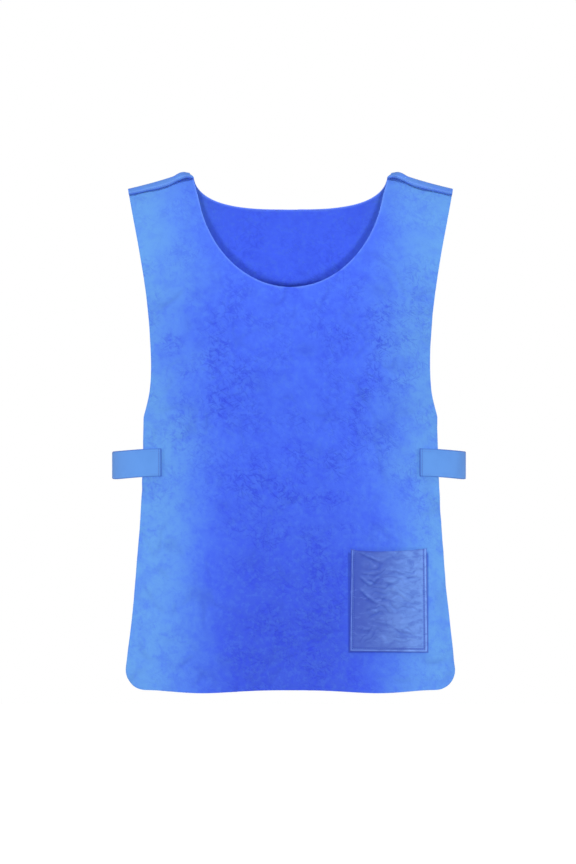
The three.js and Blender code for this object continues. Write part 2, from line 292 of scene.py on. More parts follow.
def smooth_table(rows, place, height, at):
    """A smooth curve through two columns of a table, with each slope the mean of its neighbours'."""
    places = np.array([row[place] for row in rows])
    heights = np.array([row[height] for row in rows])
    secants = np.diff(heights) / np.diff(places)
    slopes = np.concatenate([secants[:1], (secants[1:] + secants[:-1]) / 2, secants[-1:]])
    low = np.clip(np.searchsorted(places, at, side="right") - 1, 0, len(places) - 2)
    step = places[low + 1] - places[low]
    t = (at - places[low]) / step
    return (
        (2 * t**3 - 3 * t**2 + 1) * heights[low]
        + (t**3 - 2 * t**2 + t) * step * slopes[low]
        + (3 * t**2 - 2 * t**3) * heights[low + 1]
        + (t**3 - t**2) * step * slopes[low + 1]
    )


def bezier(start, leave, arrive, end, steps=1500):
    t = np.linspace(0, 1, steps)[:, None]
    start, leave, arrive, end = (np.array(point) for point in (start, leave, arrive, end))
    return (1 - t) ** 3 * start + 3 * (1 - t) ** 2 * t * leave + 3 * (1 - t) * t**2 * arrive + t**3 * end


class Face:
    """The front or the back of the worn form: its side view by length of cloth from the crest."""

    def __init__(self, form, pieces, is_front):
        self.form = form
        self.strap_drop = pieces.strap_drop
        self.stand_out = pieces.strap_stand_out
        self.facing = -1 if is_front else 1
        self.neck_depth = form.front_neck_depth if is_front else form.back_neck_depth
        self.neck_power = form.front_neck_power if is_front else form.back_neck_power
        self.folds = FRONT_FOLDS if is_front else BACK_FOLDS
        full = (form.chest_depth, form.chest_drop) if is_front else (form.blade_depth, form.blade_drop)
        waist = (form.front_waist_depth if is_front else form.back_waist_depth, pieces.strap_drop)
        hem = (form.front_hem_depth if is_front else form.back_hem_depth, form.vest_length)
        bend = form.profile_bend
        curves = [bezier((0, 0), (form.crest_reach, 0), (full[0], full[1] * bend), full)]
        for start, end in ((full, waist), (waist, hem)):
            reach = (end[1] - start[1]) * bend
            curves.append(bezier(start, (start[0], start[1] + reach), (end[0], end[1] - reach), end))
        points = np.vstack(curves)
        steps = np.linalg.norm(np.diff(points, axis=0), axis=1)
        self.runs = np.concatenate([[0], np.cumsum(steps)])
        self.depths, self.drops = points.T

    def drop_at(self, run):
        return np.interp(run, self.runs, self.drops)

    def run_at(self, drop):
        return np.interp(drop, self.drops, self.runs)

    def depth_at_drop(self, drop):
        return np.interp(drop, self.drops, self.depths)

    def side_edge(self, drop):
        """Half width of the panel, without the rounding of the hem's corners."""
        form = self.form
        down = np.clip(drop / form.armhole_depth, 0, 1)
        line = lerp(form.shoulder_half_width, form.side_half_width, down)
        armhole = line - form.armhole_inset * smooth_table(ARMHOLE, "down", "inward", down)
        side = np.clip((drop - form.armhole_depth) / (form.vest_length - form.armhole_depth), 0, 1)
        flare = lerp(form.side_half_width, form.hem_half_width, side**form.flare_power)
        return np.where(drop < form.armhole_depth, armhole, flare)

    def strap_inner_end(self, overlap):
        """How far out the sewn ends of the straps begin."""
        return float(self.side_edge(np.array(self.strap_drop))) - overlap

    def outer_edge(self, drop):
        radius = self.form.hem_corner_radius
        past = np.clip(drop - self.form.vest_length + radius, 0, radius)
        return self.side_edge(drop) - radius + np.sqrt(radius**2 - past**2)

    def inner_edge(self, drop):
        """Half width of the neck opening, and 0 below its lowest point."""
        form = self.form
        down = np.clip(drop / self.neck_depth, 0, 1)
        round_off = (1 - down**self.neck_power) ** (1 / self.neck_power)
        flare = form.neck_flare * smoothstep(drop, 0, form.neck_flare_depth)
        corner = form.neck_corner * (1 - smoothstep(drop, 0, form.neck_corner_depth))
        return round_off * (form.neck_half_width + corner - flare)

    def half_width(self, drop):
        """Half width of the whole form, which the side straps follow."""
        form = self.form
        at_strap = self.strap_inner_end(0)
        rise = smoothstep(drop, 0, self.strap_drop)
        flare = smoothstep(drop, self.strap_drop, form.vest_length)
        upper = lerp(form.shoulder_half_width, at_strap, rise)
        return upper + (form.hem_half_width - at_strap) * flare + self.stand_out

    def section_power(self, drop):
        form = self.form
        return lerp(form.shoulder_power, form.body_power, smoothstep(drop, 0, form.chest_drop))

    def fall(self, x):
        """How far the shoulder line has fallen: level beside the neck, and then down."""
        form = self.form
        flat_end = form.neck_half_width + form.shoulder_flat
        past = (np.abs(x) - flat_end) / (form.shoulder_half_width - flat_end)
        soft = form.shoulder_softness
        ramp = (past + np.hypot(past, soft)) / (1 + math.hypot(1, soft))
        return form.shoulder_fall * ramp**form.shoulder_bow

    def points(self, x, run):
        """Points of the panel's middle layer at places across it and runs of cloth down it."""
        form = self.form
        x, run = np.broadcast_arrays(np.asarray(x, float), np.asarray(run, float))
        drop = self.drop_at(run)
        depth = np.interp(run, self.runs, self.depths)
        power = self.section_power(drop)
        across = np.clip(np.abs(x) / self.half_width(drop), 0, 1)
        round_off = (1 - across**power) ** (1 / power)
        open_out = smoothstep(drop, self.strap_drop, form.vest_length)
        fold = sum(self.fold(row, x) for row in self.folds) * form.fold_depth * open_out
        fall = self.fall(x) * (1 - smoothstep(drop, 0, self.strap_drop))
        z = form.panel_thickness / 2 - drop - fall - self.dip(x, drop)
        return np.stack([x, self.facing * (depth * round_off + fold), z], axis=-1)

    def dip(self, x, drop):
        """How far the rows of cloth sink between the middle and the hem's corners."""
        form = self.form
        to_corner = np.clip(np.abs(x) / (form.hem_half_width - form.hem_corner_radius), 0, 1)
        open_out = smoothstep(drop, self.strap_drop, form.vest_length)
        return form.hem_dip * np.sin(math.pi * to_corner**form.hem_dip_power) ** 2 * open_out

    def fold(self, row, x):
        place = x / self.form.hem_half_width
        bumps = [peak(place - middle, row["width"]) for middle in (row["across"], -row["across"])]
        return row["out"] * np.maximum(*bumps)

    def normals(self, x, run):
        step = 0.0005
        across = self.points(x + step, run) - self.points(x - step, run)
        down = self.points(x, run + step) - self.points(x, run - step)
        normals = np.cross(across, down) * self.facing
        return normals / np.linalg.norm(normals, axis=-1, keepdims=True)


def faces():
    form, pieces = settings()
    return Face(form, pieces, True), Face(form, pieces, False)


def cloth_mesh(name, grids):
    """A mesh of quads from grids, merged where they meet, with the flat cloth as its UV map and the
    painted shading as an attribute: above 0 for painted shade in creases, grooves and under edges, and
    below 0 for painted highlights on ridges and turned edges. A grid holds its points, their normals,
    that shading, and the places on the flat cloth."""
    mesh = bpy.data.meshes.new(name)
    built = bmesh.new()
    crease_shading_layer = built.verts.layers.float.new("crease")
    uv_layer = built.loops.layers.uv.new("cloth")
    for points, normals, crease, flat in grids:
        rows, columns = points.shape[:2]
        verts = [built.verts.new(point) for point in points.reshape(-1, 3)]
        for vert, depth in zip(verts, crease.ravel()):
            vert[crease_shading_layer] = float(depth)
        turn = np.cross(points[0, 1] - points[0, 0], points[1, 0] - points[0, 0])
        outward = float(np.dot(turn, normals[0, 0])) > 0
        for j in range(rows - 1):
            for i in range(columns - 1):
                corners = [(j, i), (j, i + 1), (j + 1, i + 1), (j + 1, i)]
                if not outward:
                    corners.reverse()
                quad = built.faces.new([verts[row * columns + column] for row, column in corners])
                quad.smooth = True
                for loop, corner in zip(quad.loops, corners):
                    loop[uv_layer].uv = flat[corner]
    bmesh.ops.remove_doubles(built, verts=built.verts, dist=1e-6)
    built.to_mesh(mesh)
    built.free()
    return mesh


def stacked(rows):
    """One grid from its rows, each a tuple of points, normals, creases and flat places."""
    return tuple(np.array(column) for column in zip(*rows))


def add_object(name, mesh, paint):
    piece = bpy.data.objects.new(name, mesh)
    bpy.context.scene.collection.objects.link(piece)
    mesh.materials.append(paint)
    return piece


def cloth_piece(name, grids, thickness, finish):
    """The cloth as a closed piece of this thickness, with softly rounded edges."""
    rounding = 0.3
    sheet = add_object(name, cloth_mesh(name, grids), material(finish))
    solid = sheet.modifiers.new("Thickness", "SOLIDIFY")
    solid.thickness = thickness
    solid.offset = 0
    edges = sheet.modifiers.new("Rounded edges", "BEVEL")
    edges.width = thickness * rounding
    edges.segments = 2
    edges.limit_method = "ANGLE"
    edges.angle_limit = math.radians(50)
    return apply_modifiers(sheet)


def apply_modifiers(piece):
    """Turns what the modifiers make into the piece's own plain mesh."""
    depsgraph = bpy.context.evaluated_depsgraph_get()
    evaluated = piece.evaluated_get(depsgraph)
    mesh = bpy.data.meshes.new_from_object(evaluated, preserve_all_data_layers=True, depsgraph=depsgraph)
    piece.modifiers.clear()
    piece.data = mesh
    mesh.name = piece.name
    return piece


def hand_over(piece, slot, *nodes):
    """Joins the piece to the frame: what it rides on and the plain nodes it replaces. The slot is not used.
    """
    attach(piece, BODY)
    if nodes:
        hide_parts(*nodes)


class Tree:
    """Adds nodes to a node tree, with values or links for their inputs, in one call each."""

    def __init__(self, tree):
        self.tree = tree

    def add(self, kind, inputs=(), **options):
        node = self.tree.nodes.new(kind)
        for name, value in options.items():
            setattr(node, name, value)
        for key, value in dict(inputs).items():
            socket = node.inputs[key]
            if isinstance(value, bpy.types.NodeSocket):
                self.tree.links.new(value, socket)
            elif socket.type == "RGBA":
                socket.default_value = (*value, 1)
            else:
                socket.default_value = value
        return node

    def math(self, operation, *values):
        return self.add("ShaderNodeMath", enumerate(values), operation=operation).outputs[0]

    def times(self, first, *others):
        for other in others:
            first = self.math("MULTIPLY", first, other)
        return first

    def ramp(self, value, low, high, to_low=0.0, to_high=1.0):
        inputs = {"Value": value, "From Min": low, "From Max": high, "To Min": to_low, "To Max": to_high}
        node = self.add("ShaderNodeMapRange", inputs, interpolation_type="SMOOTHSTEP")
        return node.outputs["Result"]

    def band(self, value, low, high, soft):
        """1 between two values and 0 outside them, with soft ends."""
        rise = self.ramp(value, low - soft, low + soft)
        return self.times(rise, self.ramp(value, high - soft, high + soft, 1, 0))

    def mix(self, amount, first, second):
        inputs = {0: amount, 6: first, 7: second}
        return self.add("ShaderNodeMix", inputs, data_type="RGBA", clamp_factor=True).outputs[2]


def new_material(name, values):
    """A material whose shader's sockets have these values, and its shader."""
    paint = bpy.data.materials.new(name)
    paint.use_nodes = True
    shader = paint.node_tree.nodes["Principled BSDF"]
    for socket, value in values.items():
        shader.inputs[socket].default_value = value
    return paint, shader


class Fabric(Tree):
    """A new fabric material, whose base colour is tinted layer by layer. Places and ramps are in
    metres, and the scales of noise in waves for each metre."""

    def __init__(self, name, base, roughness, sheen, specular):
        values = {"Roughness": roughness, "Sheen Weight": sheen, "Specular IOR Level": specular}
        paint, self.shader = new_material(name, {**values, "Sheen Roughness": 0.5})
        super().__init__(paint.node_tree)
        self.place = self.add("ShaderNodeTexCoord").outputs["Object"]
        self.base = base

    def axes(self, place):
        return self.add("ShaderNodeSeparateXYZ", {0: place}).outputs

    def crease(self):
        return self.add("ShaderNodeAttribute", attribute_name="crease").outputs["Fac"]

    def noise(self, scale, detail=2.0, roughness=0.5, distortion=0.0, place=None):
        inputs = {"Vector": place or self.place, "Scale": scale, "Detail": detail}
        inputs.update({"Roughness": roughness, "Distortion": distortion})
        return self.add("ShaderNodeTexNoise", inputs).outputs[0]

    def drift(self, scale, reach):
        """A soft wandering about 0, as far as half the reach."""
        return self.times(self.math("SUBTRACT", self.noise(scale, 3), 0.5), reach)

    def moved(self, scale, turn=0.0, kind="POINT"):
        """The places scaled, and turned in the front view."""
        inputs = {"Vector": self.place, "Rotation": (0, turn, 0), "Scale": scale}
        return self.add("ShaderNodeMapping", inputs, vector_type=kind).outputs[0]

    def tint(self, colour, *masks):
        """Paints a colour over the base as far as the product of the masks says."""
        self.base = self.mix(self.times(*masks), self.base, colour)

    def finish(self, height, distance):
        bump = self.add("ShaderNodeBump", {"Height": height, "Distance": distance})
        bump.inputs["Strength"].default_value = 1.0
        self.tree.links.new(self.base, self.shader.inputs["Base Color"])
        self.tree.links.new(bump.outputs[0], self.shader.inputs["Normal"])


def strokes(cloth, turn, long, thin, bare):
    """Short soft strokes of this length and width that lie along one direction across the front."""
    depth, softness = 0.1, 0.13
    along = cloth.moved((long, depth, thin), turn, "TEXTURE")
    return cloth.ramp(cloth.noise(1, 2.0, 0.55, 0.9, along), bare, bare + softness)


def shade_round_pocket(cloth, x, y, z):
    """Where shade is painted on the front panel's cloth close round the pocket: 1 there, less above its
    mouth, and 0 elsewhere.
    """
    form, pieces = settings()
    half_width = (pieces.pocket_width + pieces.pocket_flare) / 2
    half_height = pieces.pocket_height / 2
    middle = pieces.pocket_hem_gap + half_height - form.vest_length + form.panel_thickness / 2
    top = middle + half_height
    near, far, above_mouth = 0.0006, 0.0026, 0.15
    off_side = cloth.math("ABSOLUTE", cloth.math("SUBTRACT", x, pieces.pocket_across))
    off_level = cloth.math("ABSOLUTE", cloth.math("SUBTRACT", z, middle))
    beyond_side = cloth.math("SUBTRACT", off_side, half_width)
    beyond_level = cloth.math("SUBTRACT", off_level, half_height)
    close = cloth.ramp(cloth.math("MAXIMUM", beyond_side, beyond_level), near, far, 1, 0)
    under_mouth = cloth.ramp(z, top - 0.008, top - 0.003, 1, above_mouth)
    return cloth.times(close, under_mouth, cloth.ramp(y, 0, -0.02))


def crumpled_cloth(name, colours):
    """The panels' crumpled suede-like cloth: royal blue down the middle, and azure at the sides, which is
    painted light, a sheen where the cloth turns to the sides.
    """
    cloth = Fabric(name, colours.royal, 0.92, 0.02, 0.1)
    x, y, z = cloth.axes(cloth.place)
    across = cloth.math("ABSOLUTE", x)
    # Painted light: lighter azure towards the sides, where the cloth turns away, as a sheen.
    cloth.tint(colours.azure, cloth.ramp(cloth.math("ADD", across, cloth.drift(9, 0.1)), 0.078, 0.2))
    # Painted light on the back panel's inside near the neck, seen through the neck opening.
    lit_inside_neck = cloth.times(cloth.ramp(y, 0, 0.02), cloth.ramp(z, -0.27, -0.1))
    cloth.tint(colours.neck_inside_light, lit_inside_neck, cloth.ramp(across, 0.16, 0.06, 0, 0.8))
    cloth.tint(colours.deep, cloth.ramp(z, -0.3, -0.63), cloth.ramp(across, 0.16, 0.04), 0.75)

    # Where the strokes of painted shade in creases gather: most on the chest and the belly, fewer high up
    # and on the flanks.
    chest = cloth.times(cloth.band(across, 0.045, 0.14, 0.03), cloth.band(z, -0.34, -0.16, 0.04))
    belly = cloth.times(cloth.ramp(across, 0.11, 0.05), cloth.ramp(z, -0.33, -0.4))
    below = cloth.ramp(z, -0.06, -0.2, 0.6, 1.0)
    flank = cloth.times(cloth.ramp(z, -0.38, -0.5), cloth.ramp(across, 0.05, 0.12, 0, 0.6))
    worn = cloth.math("MULTIPLY_ADD", cloth.math("MAXIMUM", chest, belly), 0.45, 0.55)
    worn = cloth.times(worn, below, cloth.math("SUBTRACT", 1, flank))
    clusters = cloth.times(cloth.ramp(cloth.noise(26, 3), 0.32, 0.66), worn)
    stroke = 0.0
    for row in STROKES:
        stroke = cloth.math("MAXIMUM", stroke, strokes(cloth, **row))
    stroke = cloth.times(stroke, clusters)

    speck = cloth.noise(150, 3, 0.65)
    specked = cloth.math("MULTIPLY_ADD", clusters, 0.6, 0.4)
    cloth.tint(colours.vivid, cloth.ramp(cloth.noise(45, 4, 0.6, 0.4), 0.42, 0.7), below, 0.24)
    cloth.tint(colours.vivid, cloth.ramp(speck, 0.5, 0.68), specked, below, 0.3)
    # Painted shade in the small creases that the strokes sink.
    cloth.tint(colours.vivid, stroke, 0.42)
    cloth.tint(colours.azure, cloth.ramp(speck, 0.5, 0.34), 0.12)
    # Painted shade in the creases of the crumples, and a painted highlight along the neck opening's edge,
    # where the values are below 0.
    crease = cloth.crease()
    cloth.tint(colours.seam, cloth.math("MAXIMUM", cloth.times(stroke, 0.16), cloth.times(crease, 0.18)))
    cloth.tint(colours.painted_highlight, crease, -0.7)
    # Painted shade on the panel close round the pocket, under its edges.
    cloth.tint(colours.seam, shade_round_pocket(cloth, x, y, z), 0.6)
    relief = cloth.math("MULTIPLY_ADD", cloth.noise(800, 3, 0.6), 0.15, cloth.times(speck, 0.7))
    cloth.finish(cloth.math("MULTIPLY_ADD", stroke, -0.5, relief), 0.0008)


def band_tape(name, colours):
    """The shoulder bands' tape."""
    tape = Fabric(name, colours.tape, 0.88, 0.03, 0.1)
    crease = tape.crease()
    tape.tint(colours.royal, tape.ramp(tape.noise(70, 4, 0.6), 0.4, 0.7), 0.4)
    # Painted shade at the band's edges, and a painted highlight on the ridge beside them.
    tape.tint(colours.seam, crease, 0.6)
    tape.tint(colours.painted_highlight, crease, -0.4)
    tape.finish(tape.noise(650, 3, 0.6), 0.0003)


def ribbed_elastic(name, colours):
    """Smooth knitted elastic: fine ribs along the strap, and painted shade along each rounded edge."""
    rib_pitch, pick_pitch = 0.0011, 0.0016
    half_width = bpy.context.scene.vest_pieces.strap_width / 2
    strap = Fabric(name, colours.elastic, 0.72, 0.03, 0.15)
    along, across, _ = strap.axes(strap.add("ShaderNodeUVMap", uv_map="cloth").outputs[0])
    # Painted shade along the strap's rounded edges.
    edge = strap.ramp(strap.math("ABSOLUTE", across), half_width - 0.0018, half_width - 0.0006)
    strap.tint(colours.strap_mottle_and_edge_shade, strap.ramp(strap.noise(45, 3), 0.35, 0.7), 0.12)
    strap.tint(colours.strap_mottle_and_edge_shade, edge, 0.7)
    # Painted shade at the sewn ends and in the stitch grooves.
    strap.tint(colours.seam, strap.crease(), 0.8)
    ribs = strap.math("SINE", strap.times(across, 2 * math.pi / rib_pitch))
    picks = strap.math("SINE", strap.times(along, 2 * math.pi / pick_pitch))
    strap.finish(strap.math("MULTIPLY_ADD", picks, 0.5, ribs), 0.00006)


def wrinkled_lining(name, colours):
    """The pocket's smoother, greyer cloth, with painted shade in its wrinkles and grooves and painted light
    that makes it lighter towards the side.
    """
    pieces = bpy.context.scene.vest_pieces
    half_width = pieces.pocket_width / 2
    low, high = pieces.pocket_across - half_width, pieces.pocket_across + half_width
    cloth = Fabric(name, colours.pocket_shade, 0.6, 0.03, 0.25)
    x, _, _ = cloth.axes(cloth.place)
    # Painted light: lighter towards the pocket's side, as on the panels.
    cloth.tint(colours.pocket, cloth.ramp(cloth.math("ADD", x, cloth.drift(28, 0.07)), low, high))
    # Painted shade in the wrinkles, the stitch grooves, under the edges and along the mouth, and painted
    # highlights on the ridges.
    crease = cloth.crease()
    cloth.tint(colours.seam, crease, 0.5)
    cloth.tint(colours.painted_highlight, crease, -0.4)
    fine = cloth.noise(120, 4, 0.65, 0.6, cloth.moved((0.6, 1, 1.3)))
    # Painted shading that follows the fine ripples: darker on their rises, lighter in their dips.
    cloth.tint(colours.pocket_shade, cloth.ramp(fine, 0.46, 0.66, 0, 0.45))
    cloth.tint(colours.painted_highlight, cloth.ramp(fine, 0.46, 0.3, 0, 0.16))
    cloth.finish(cloth.math("MULTIPLY_ADD", cloth.noise(900), 0.2, fine), 0.0004)


def sewing_thread(name, colours):
    """Twisted polyester thread."""
    thread = Fabric(name, colours.thread, 0.5, 0.0, 0.4)
    twist = thread.noise(2500, 1)
    thread.tint(colours.azure, twist)
    thread.finish(twist, 0.00005)


def material(make):
    """The material that this function makes, under the function's name, made only once."""
    name = make.__name__
    if name not in bpy.data.materials:
        make(name, bpy.context.scene.vest_colours)
    return bpy.data.materials[name]


def crumple(x, run, seed):
    """Soft crumples of the cloth at each point, as a height from about -1 to 1, and the depth of
    their creases from 0 to 1. The factors of places are waves for each metre of cloth."""
    noise.seed_set(NOISE_SEED)
    sideways = Vector((9, 0, 0))
    heights, depths = np.empty(x.size), np.empty(x.size)
    for i, (across, down) in enumerate(zip(x.ravel(), run.ravel())):
        place = Vector((across, down, seed))
        bent = place + noise.noise_vector(place * 16) * 0.02
        broad = noise.fractal(bent * 11, 1.0, 2.0, 2)
        first = noise.noise(bent * 24)
        second = noise.noise(Vector((bent.x * 1.4, bent.y * 0.8, seed + 5)) * 31)
        valley = peak(first, 0.11) * max(0.0, noise.noise(place * 29))
        valley += peak(second, 0.13) * max(0.0, noise.noise(place * 34 + sideways) - 0.05)
        heights[i] = broad * 0.9 + noise.noise(bent * 55) * 0.22 - valley * 1.3
        depths[i] = min(1.0, valley * 1.6)
    return heights.reshape(x.shape), depths.reshape(x.shape)


def box_distance(x, z, middle, half_width, low, high):
    """Distance outside a rectangle in the front view, and 0 inside it."""
    beside = np.maximum(np.abs(x - middle) - half_width, 0)
    above = np.maximum(np.maximum(low - z, z - high), 0)
    return np.hypot(beside, above)


def panel_rows(face, step):
    """Runs of cloth from the crest to the hem for the panel's rows, and the row where the neck
    opening ends. The rows lie closer where the outline turns level."""
    form = face.form
    closer, corner_count = 1.35, 14
    neck_run = face.run_at(face.neck_depth)
    corner_run = face.run_at(form.vest_length - form.hem_corner_radius)
    neck_count = math.ceil(neck_run * closer / step)
    body_count = math.ceil((corner_run - neck_run) / step)
    neck = neck_run * np.cos(np.linspace(math.pi / 2, 0, neck_count, endpoint=False))
    neck[0] = form.seam_gap / 2
    body = np.linspace(neck_run, corner_run, body_count, endpoint=False)
    corner = lerp(corner_run, face.runs[-1], np.sin(np.linspace(0, math.pi / 2, corner_count)))
    return np.concatenate([neck, body, corner]), neck_count


def panel_seam_calm(face, x, run, z):
    """How free the cloth is to crumple: nothing at its seams, straps and pocket, less on the
    shoulders and behind the neck, and all between."""
    form, pieces = settings()
    seam_rest, shoulder_share, neck_share = 0.002, 0.35, 0.3
    calm = smoothstep(run, pieces.band_front_width, pieces.band_front_width + 0.02)
    calm = calm * lerp(shoulder_share, 1, smoothstep(run, 0.11, 0.2))
    strap_z, half = pieces.strap_end_rise / 2 - pieces.strap_drop, pieces.strap_width / 2
    reach = 0.05
    middle = face.strap_inner_end(pieces.strap_overlap) + reach
    beyond = box_distance(np.abs(x), z, middle, reach, strap_z - half, strap_z + half)
    calm = calm * smoothstep(beyond, seam_rest, seam_rest + 0.012)
    if face.facing > 0:
        return calm * lerp(neck_share, 1, smoothstep(run, 0.1, 0.18))
    foot = pieces.pocket_hem_gap - form.vest_length
    around = (pieces.pocket_width + pieces.pocket_flare) / 2
    beyond = box_distance(x, z, pieces.pocket_across, around, foot, foot + pieces.pocket_height)
    return calm * smoothstep(beyond, seam_rest, seam_rest + 0.014)


def build_panel(name, face, seed):
    """One panel of crumpled cloth as a closed piece, from two halves that meet in the middle, with
    a painted highlight along the edge round the neck opening."""
    form, pieces = settings()
    painted_highlight, highlight_width = 0.45, 0.0032
    runs, neck_row = panel_rows(face, pieces.cloth_step)
    drops = face.drop_at(runs)
    by_neck = np.arange(len(runs)) < neck_row
    inner = np.where(by_neck, face.inner_edge(drops), 0)
    outer = face.outer_edge(drops)
    edge_places, edge_runs = inner[neck_row::-1], runs[neck_row::-1]
    columns = np.linspace(0, 1, math.ceil(form.hem_half_width / pieces.cloth_step) + 1)
    grids = []
    for side in SIDES.values():
        x = side * lerp(inner[:, None], outer[:, None], columns)
        run = np.broadcast_to(runs[:, None], x.shape)
        points, normals = face.points(x, run), face.normals(x, run)
        height, crease = crumple(x, run, seed)
        calm = panel_seam_calm(face, x, run, points[..., 2])
        points = points + normals * (height * calm * pieces.crumple_height)[..., None]
        below = run - np.interp(np.abs(x), edge_places, edge_runs)
        beside = np.where(by_neck[:, None], np.abs(x) - inner[:, None], 1.0)
        to_neck = beside * below / np.maximum(np.hypot(beside, below), 1e-6)
        # Below 0 along the neck opening's edge, a painted highlight on the turned edge. Above 0 in the
        # creases, for painted shade.
        crease = crease * calm - painted_highlight * (1 - smoothstep(to_neck, 0, highlight_width))
        grids.append((points, normals, crease, np.stack([x, run], axis=-1)))
    return cloth_piece(name, grids, form.panel_thickness, crumpled_cloth)


def noise_along(x, scale, row, depth=0.0):
    """Noise at each place across, the same on both sides, in waves for each metre."""
    return np.array([noise.noise(Vector((abs(place) * scale, row, depth))) for place in x])


def band_surface(side, signed, across):
    """Points, normals and places across of one shoulder band's middle layer, at a length of cloth
    from the crest, minus in front, and at shares of the way from the neck to the arm."""
    form, pieces = settings()
    front, back = faces()
    face = front if signed < 0 else back
    pucker_reach, bulge_reach = 0.014, 0.012
    drop = face.drop_at(abs(signed))
    x = side * lerp(face.inner_edge(drop), face.outer_edge(drop), across)
    to_front = pieces.band_front_width + signed
    waves = noise_along(x, 105, 3.3, signed * 30)
    longer = noise_along(x, 70, 7.7) * pieces.band_ragged + pieces.band_bulge * np.sin(math.pi * across)
    run = abs(signed) + longer * (1 - smoothstep(to_front, 0, bulge_reach))
    hump = pieces.band_hump * (smoothstep(1 - across, 0.72, 0.87) - smoothstep(1 - across, 0.89, 1.0))
    rise = (form.panel_thickness + pieces.band_thickness) / 2 + form.seam_gap + hump
    rise = rise + pieces.band_pucker * (1 + waves) * (1 - smoothstep(to_front, 0, pucker_reach))
    normals = face.normals(x, np.maximum(run, 0.001))
    return face.points(x, run) + normals * rise[:, None], normals, x


def build_band(name, side):
    """The band over one shoulder, on top of both panels' edges, with small puckers along its seam."""
    form, pieces = settings()
    rows = math.ceil((pieces.band_front_width + pieces.band_back_width) / pieces.trim_step)
    columns = math.ceil((form.shoulder_half_width - form.neck_half_width) / pieces.trim_step)
    across = np.linspace(0, 1, columns + 1)
    edge_width, ridge_inset, ridge_width = 0.0012, 0.0042, 0.0016
    grid = []
    for signed in np.linspace(-pieces.band_front_width, pieces.band_back_width, rows + 1):
        points, normals, x = band_surface(side, signed, across)
        to_edge = min(pieces.band_front_width + signed, pieces.band_back_width - signed)
        # Painted shade at the band's edges, and a painted highlight on a ridge a little inside them.
        sewn = peak(to_edge, edge_width) - 0.7 * peak(to_edge - ridge_inset, ridge_width)
        flat = np.stack([x, np.full(x.shape, signed)], axis=-1)
        grid.append((points, normals, np.full(x.shape, sewn), flat))
    return cloth_piece(name, [stacked(grid)], pieces.band_thickness, band_tape)


def strap_line(side):
    """The strap's middle line from its sewn end in front to the one behind: even places in plan,
    their outward directions, their heights and the length along the strap."""
    form, pieces = settings()
    front, back = faces()
    drop = pieces.strap_drop
    lift = (form.panel_thickness + pieces.strap_thickness) / 2 + form.seam_gap
    power = float(front.section_power(drop))
    half_width = float(front.half_width(drop))
    start = math.acos((front.strap_inner_end(pieces.strap_overlap) / half_width) ** (power / 2))
    turn = np.linspace(-start, start, 801)
    facing = np.where(turn < 0, front.facing, back.facing)
    depth = np.where(turn < 0, front.depth_at_drop(drop), back.depth_at_drop(drop))
    x = half_width * np.cos(turn) ** (2 / power)
    y = facing * depth * np.abs(np.sin(turn)) ** (2 / power)
    out_x = (x / half_width) ** (power - 1) / half_width
    out_y = facing * (np.abs(y) / depth) ** (power - 1) / depth
    out = np.stack([out_x, out_y], -1)
    out = out / np.linalg.norm(out, axis=1, keepdims=True)
    line = np.stack([x, y], -1) + out * lift
    run = np.concatenate([[0], np.cumsum(np.linalg.norm(np.diff(line, axis=0), axis=1))])
    even = np.linspace(0, run[-1], math.ceil(run[-1] / pieces.trim_step) + 1)
    place = np.stack([np.interp(even, run, line[:, i]) for i in (0, 1)], -1)
    outward = np.stack([np.interp(even, run, out[:, i]) for i in (0, 1)], -1)
    to_end = np.minimum(even, even[-1] - even)
    rise = pieces.strap_end_rise * (1 - smoothstep(to_end, 0, even[-1] * 0.42))
    height = form.panel_thickness / 2 - drop + rise
    return place * (side, 1), outward * (side, 1), height, even


def build_strap(name, side):
    """An elastic strap round one side, sewn to the outer faces of both panels and drawn in a little
    where it turns."""
    _, pieces = settings()
    drawn_share, drawn_reach, edge_width, groove_width = 0.11, 0.012, 0.0009, 0.0008
    place, outward, height, even = strap_line(side)
    slack = pieces.strap_slack_left if side > 0 else pieces.strap_slack_right
    place = place + outward * (slack * np.sin(math.pi * even / even[-1]) ** 4)[:, None]
    to_end = np.minimum(even, even[-1] - even)
    drawn_in = 1 - drawn_share * peak(even - even[-1] / 2, drawn_reach)
    # Painted shade at the strap's sewn ends and in its stitch grooves.
    sewn = peak(to_end, edge_width) + 0.5 * peak(to_end - pieces.strap_seam_inset, groove_width)
    normals = np.column_stack([outward, np.zeros(len(even))])
    rows = math.ceil(pieces.strap_width / pieces.trim_step)
    grid = []
    for low in pieces.strap_width * np.linspace(-0.5, 0.5, rows + 1):
        flat = np.column_stack([even, np.full(len(even), low)])
        grid.append((np.column_stack([place, height - low * drawn_in]), normals, sewn, flat))
    return cloth_piece(name, [stacked(grid)], pieces.strap_thickness, ribbed_elastic)


def wrinkle_shape(u, v, wrinkle):
    """The valley of one wrinkle and the soft ridge above it, at each place on the pocket."""
    _, pieces = settings()
    ridge_off = 1.7
    size = np.array([pieces.pocket_width, pieces.pocket_height])
    t = np.linspace(0, 1, 40)[:, None]
    start, bend, end = (np.array(point) * size for point in wrinkle[:3])
    line = (1 - t) ** 2 * start + 2 * (1 - t) * t * bend + t**2 * end
    apart = np.stack([u * size[0], v * size[1]], -1)[..., None, :] - line
    distances = np.linalg.norm(apart, axis=-1)
    nearest = distances.argmin(axis=-1)
    distance = np.take_along_axis(distances, nearest[..., None], -1)[..., 0] / pieces.wrinkle_width
    below = np.sign(np.take_along_axis(apart[..., 1], nearest[..., None], -1)[..., 0])
    fade = np.sin(math.pi * np.clip(t[:, 0], 0.02, 0.98))[nearest] ** 0.7 * wrinkle[3]
    return fade * peak(distance, 1), fade * peak(distance * below + ridge_off, 1)


